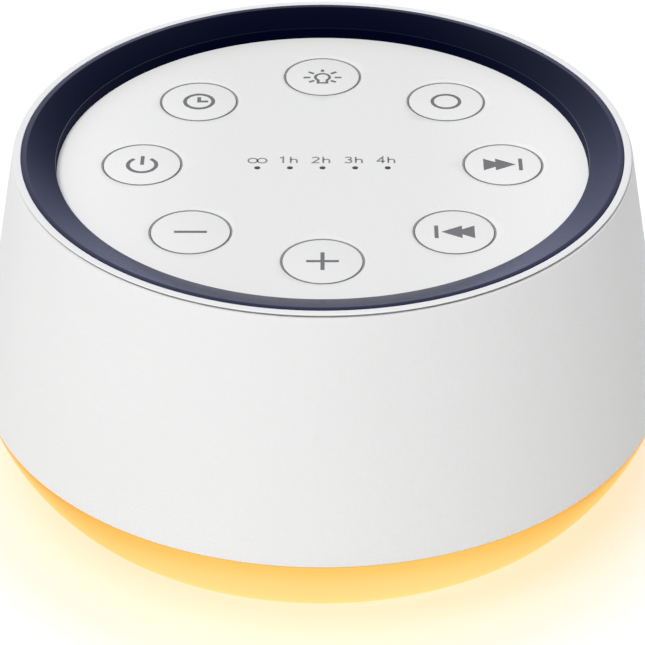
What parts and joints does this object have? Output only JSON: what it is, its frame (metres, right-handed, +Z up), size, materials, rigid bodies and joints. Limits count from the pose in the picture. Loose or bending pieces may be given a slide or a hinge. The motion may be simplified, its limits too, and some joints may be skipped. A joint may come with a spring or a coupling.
{
  "type": "white noise sound machine",
  "caption": "Round tapered white noise machine with a dark inset ring, flush push buttons round timer lights, a glowing lamp bowl at the base and a speaker grille underneath.",
  "frame": {"origin": "centre of the footprint, on the surface that the feet stand on", "axes": "+Z up, front (volume up button) at -Y, power inlet at +Y, next button at +X"},
  "size_m": [0.1082, 0.1082, 0.056],
  "materials": {
    "shell_white": "satin white ABS",
    "accent_navy": "satin navy ABS",
    "panel_white": "fine matt white ABS",
    "inner_white": "plain white ABS",
    "bowl_amber": "milky polycarbonate, lit amber from inside",
    "clear_plastic": "clear acrylic",
    "circuit_board": "glass-fibre board with green mask",
    "led": "encapsulated light",
    "black_plastic": "black moulding",
    "screw_steel": "zinc-plated steel",
    "basket_steel": "black painted pressed steel",
    "ferrite": "sintered ferrite",
    "rubber_grey": "soft rubber",
    "foam": "closed-cell foam and treated cloth",
    "paper_cone": "treated paper pulp",
    "copper": "enamelled copper winding",
    "wire": "insulated wire and flat ribbon"
  },
  "bodies": {
    "housing": {"outer_shell": "shell_white", "rim_ring": "shell_white", "accent_ring": "accent_navy", "ring_screws": "screw_steel", "top_panel": "panel_white", "button_board": "circuit_board", "button_board_screws": "screw_steel", "switch_bodies": "black_plastic", "timer_leds": "led", "timer_light_guide": "clear_plastic", "inner_chassis": "inner_white", "chassis_screws": "screw_steel", "main_board": "circuit_board", "main_board_screws": "screw_steel", "main_board_chips": "black_plastic", "main_board_capacitors": "black_plastic", "power_socket": "screw_steel", "ribbon_sockets": "black_plastic", "button_ribbon": "wire", "lead_sockets": "black_plastic", "speaker_lead": "wire", "lamp_lead": "wire", "lamp_board": "circuit_board", "lamp_leds": "led", "lamp_board_screws": "screw_steel", "light_reflector": "inner_white", "diffuser_bowl": "bowl_amber", "base_plate": "shell_white", "base_screws": "screw_steel", "rubber_feet": "rubber_grey", "speaker_gasket": "foam", "speaker_basket": "basket_steel", "speaker_screws": "screw_steel", "speaker_terminals": "circuit_board", "speaker_front_plate": "screw_steel", "speaker_magnet": "ferrite", "speaker_yoke": "screw_steel", "surround": "rubber_grey", "spider": "foam"},
    "sound_key": {"sound_button": "panel_white", "sound_switch_plunger": "black_plastic"},
    "next_key": {"next_button": "panel_white", "next_switch_plunger": "black_plastic"},
    "previous_key": {"previous_button": "panel_white", "previous_switch_plunger": "black_plastic"},
    "volume_up_key": {"volume_up_button": "panel_white", "volume_up_switch_plunger": "black_plastic"},
    "volume_down_key": {"volume_down_button": "panel_white", "volume_down_switch_plunger": "black_plastic"},
    "power_key": {"power_button": "panel_white", "power_switch_plunger": "black_plastic"},
    "timer_key": {"timer_button": "panel_white", "timer_switch_plunger": "black_plastic"},
    "light_key": {"light_button": "panel_white", "light_switch_plunger": "black_plastic"},
    "cone_assembly": {"speaker_cone": "paper_cone", "dust_cap": "paper_cone", "voice_coil": "copper"}
  },
  "joints": [
    {"name": "sound_press", "type": "slide", "parent": "housing", "child": "sound_key", "axis": [0, 0, -1], "range_m": [0, 0.0005], "stiffness_N_per_m": 2500, "springref_m": -0.0003},
    {"name": "next_press", "type": "slide", "parent": "housing", "child": "next_key", "axis": [0, 0, -1], "range_m": [0, 0.0005], "stiffness_N_per_m": 2500, "springref_m": -0.0003},
    {"name": "previous_press", "type": "slide", "parent": "housing", "child": "previous_key", "axis": [0, 0, -1], "range_m": [0, 0.0005], "stiffness_N_per_m": 2500, "springref_m": -0.0003},
    {"name": "volume_up_press", "type": "slide", "parent": "housing", "child": "volume_up_key", "axis": [0, 0, -1], "range_m": [0, 0.0005], "stiffness_N_per_m": 2500, "springref_m": -0.0003},
    {"name": "volume_down_press", "type": "slide", "parent": "housing", "child": "volume_down_key", "axis": [0, 0, -1], "range_m": [0, 0.0005], "stiffness_N_per_m": 2500, "springref_m": -0.0003},
    {"name": "power_press", "type": "slide", "parent": "housing", "child": "power_key", "axis": [0, 0, -1], "range_m": [0, 0.0005], "stiffness_N_per_m": 2500, "springref_m": -0.0003},
    {"name": "timer_press", "type": "slide", "parent": "housing", "child": "timer_key", "axis": [0, 0, -1], "range_m": [0, 0.0005], "stiffness_N_per_m": 2500, "springref_m": -0.0003},
    {"name": "light_press", "type": "slide", "parent": "housing", "child": "light_key", "axis": [0, 0, -1], "range_m": [0, 0.0005], "stiffness_N_per_m": 2500, "springref_m": -0.0003},
    {"name": "cone_travel", "type": "slide", "parent": "housing", "child": "cone_assembly", "axis": [0, 0, 1], "range_m": [-0.001, 0.001], "stiffness_N_per_m": 2500, "deforming": ["surround", "spider"]}
  ]
}
